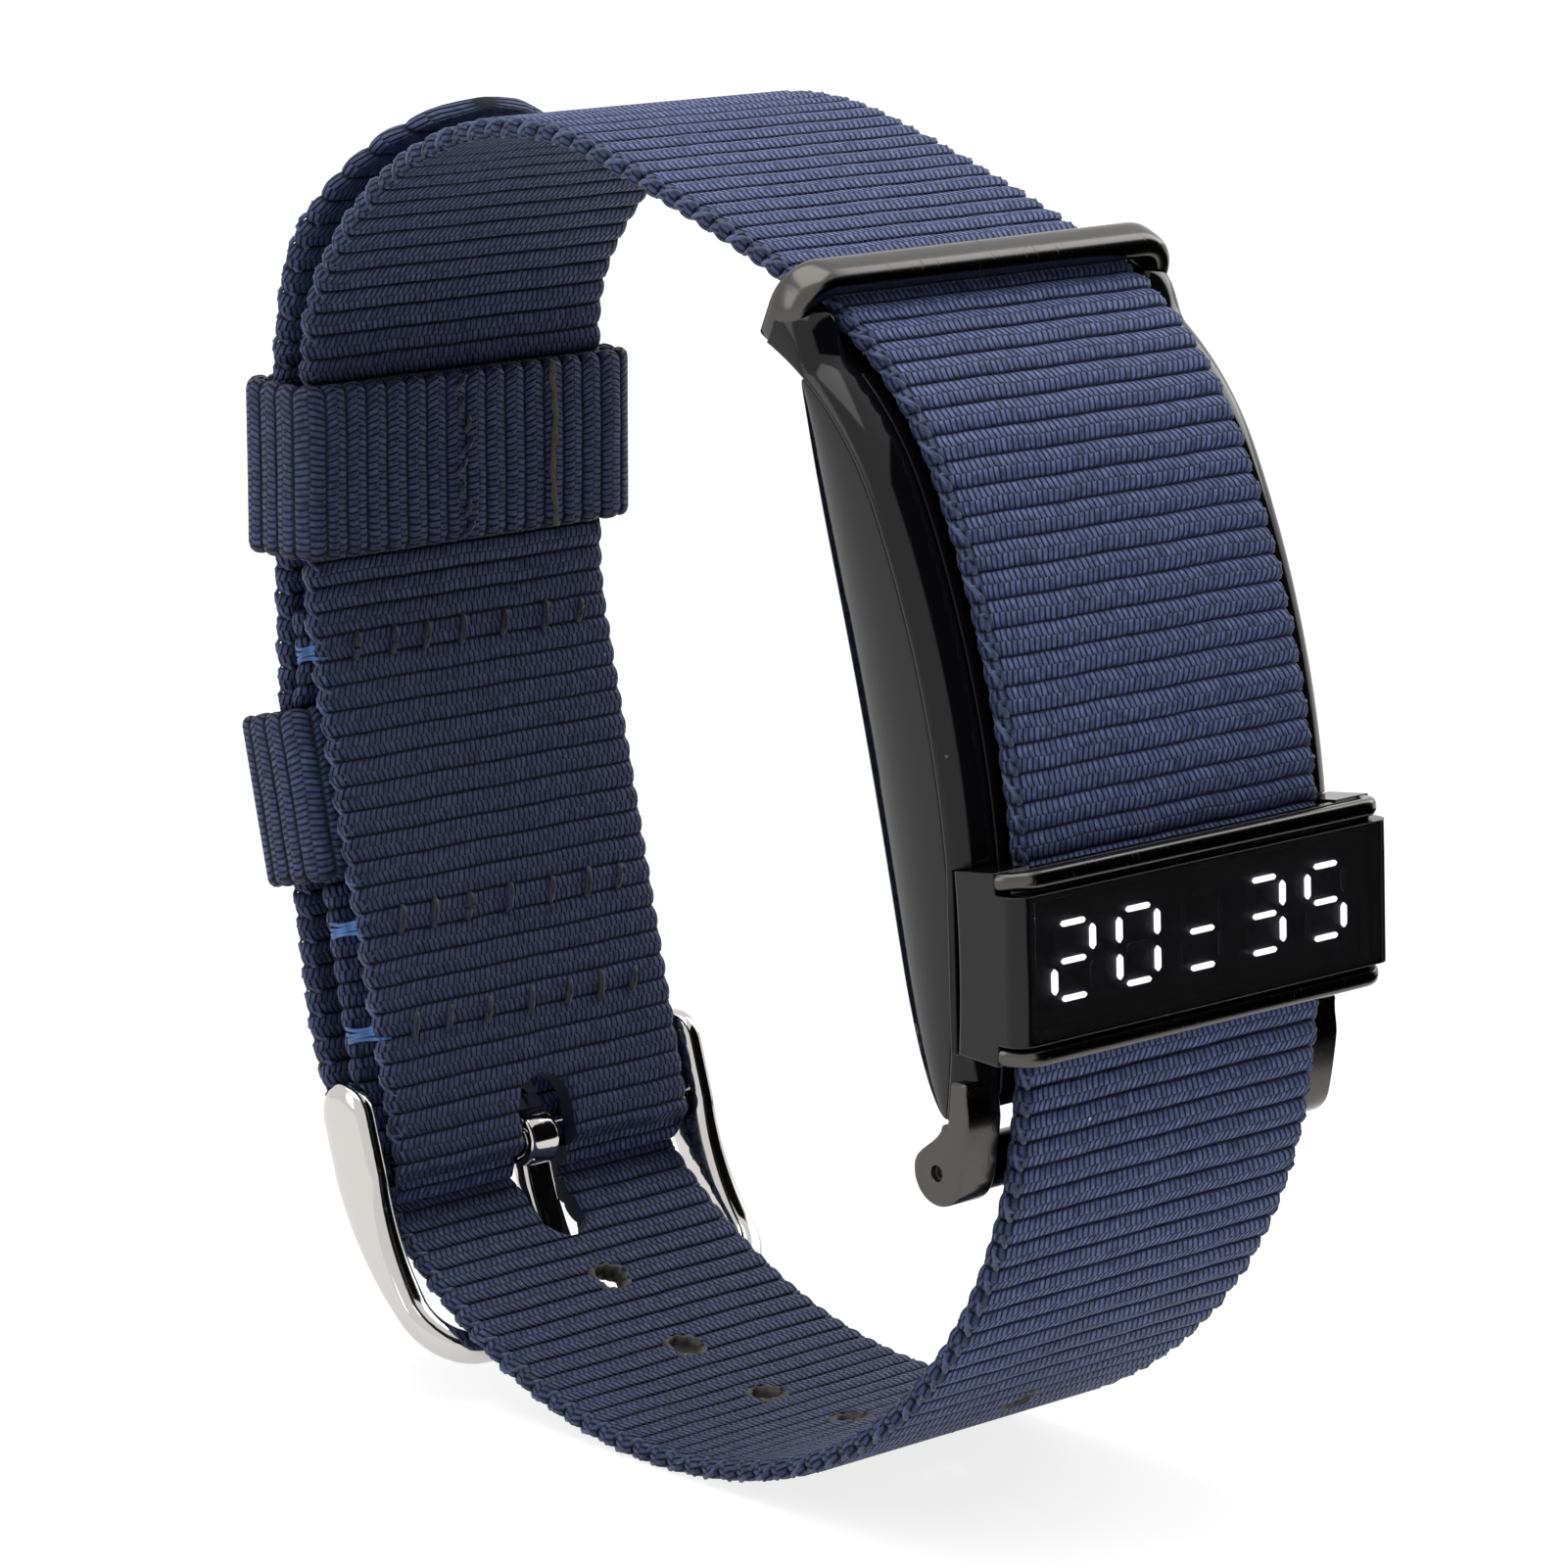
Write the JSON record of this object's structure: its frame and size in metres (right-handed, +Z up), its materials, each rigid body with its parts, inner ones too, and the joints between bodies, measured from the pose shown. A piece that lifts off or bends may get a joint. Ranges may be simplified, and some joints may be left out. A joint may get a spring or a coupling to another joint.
{
  "type": "fitness tracker band",
  "caption": "Fitness tracker band: a black sensor module with a small display bar, carried on a ribbed navy webbing strap that closes with a steel tang buckle and webbing keepers.",
  "frame": {"origin": "On the ground under the middle of the closed band", "axes": "+Z up with the band standing on its chin side, +X along the wrist axis, -Y the display side and +Y the buckle side"},
  "size_m": [0.025, 0.061, 0.067],
  "materials": {
    "webbing": "ribbed navy webbing",
    "thread": "twisted thread",
    "steel": "polished",
    "case_black": "polished black",
    "dark_metal": "polished dark metal",
    "dark_glass": "smoked, clear coat",
    "seal": "matt",
    "screw_steel": "turned",
    "board": "solder mask",
    "lit_digits": "lit white",
    "copper": "film with copper tracks",
    "chip": "moulded",
    "battery_can": "foil",
    "lens": "clear green",
    "gold": "gold plated"
  },
  "bodies": {
    "band": {"strap": "webbing", "stitching": "thread", "fixed_keeper": "webbing", "rear_case": "case_black", "case_cover": "case_black", "case_gasket": "seal", "case_screws": "screw_steel", "outer_frame": "case_black", "lower_bar": "dark_metal", "display_housing": "case_black", "display_trims": "dark_metal", "display_glass": "dark_glass", "display_board": "board", "display_digits": "lit_digits", "display_flex": "copper", "main_board": "board", "board_chips": "chip", "battery": "battery_can", "battery_tabs": "battery_can", "sensor_window": "dark_glass", "sensor_board": "board", "sensor_leds": "lens", "sensor_photodiodes": "chip", "light_barrier": "seal", "charging_contacts": "gold", "motor_case": "battery_can"},
    "free_keeper": {"free_keeper": "webbing"},
    "buckle": {"buckle_frame": "steel", "buckle_pin": "steel"},
    "tongue": {"buckle_tongue": "steel"},
    "rotor": {"motor_rotor": "dark_metal"}
  },
  "joints": [
    {"name": "keeper_slide", "type": "slide", "parent": "band", "child": "free_keeper", "axis": [0, -0.0175, 0.9998], "range_m": [-0.0012, 0.0008]},
    {"name": "buckle_swing", "type": "hinge", "parent": "band", "child": "buckle", "pos_m": [0, 0.02014, 0.01104], "axis": [1, 0, 0], "range_deg": [0, 6]},
    {"name": "tongue_lift", "type": "hinge", "parent": "buckle", "child": "tongue", "pos_m": [0, 0.02014, 0.01104], "axis": [1, 0, 0], "range_deg": [0, 6]},
    {"name": "rotor_spin", "type": "hinge", "parent": "band", "child": "rotor", "pos_m": [0, -0.02349, 0.02976], "axis": [0, 0.9696, -0.2445], "continuous": true}
  ]
}
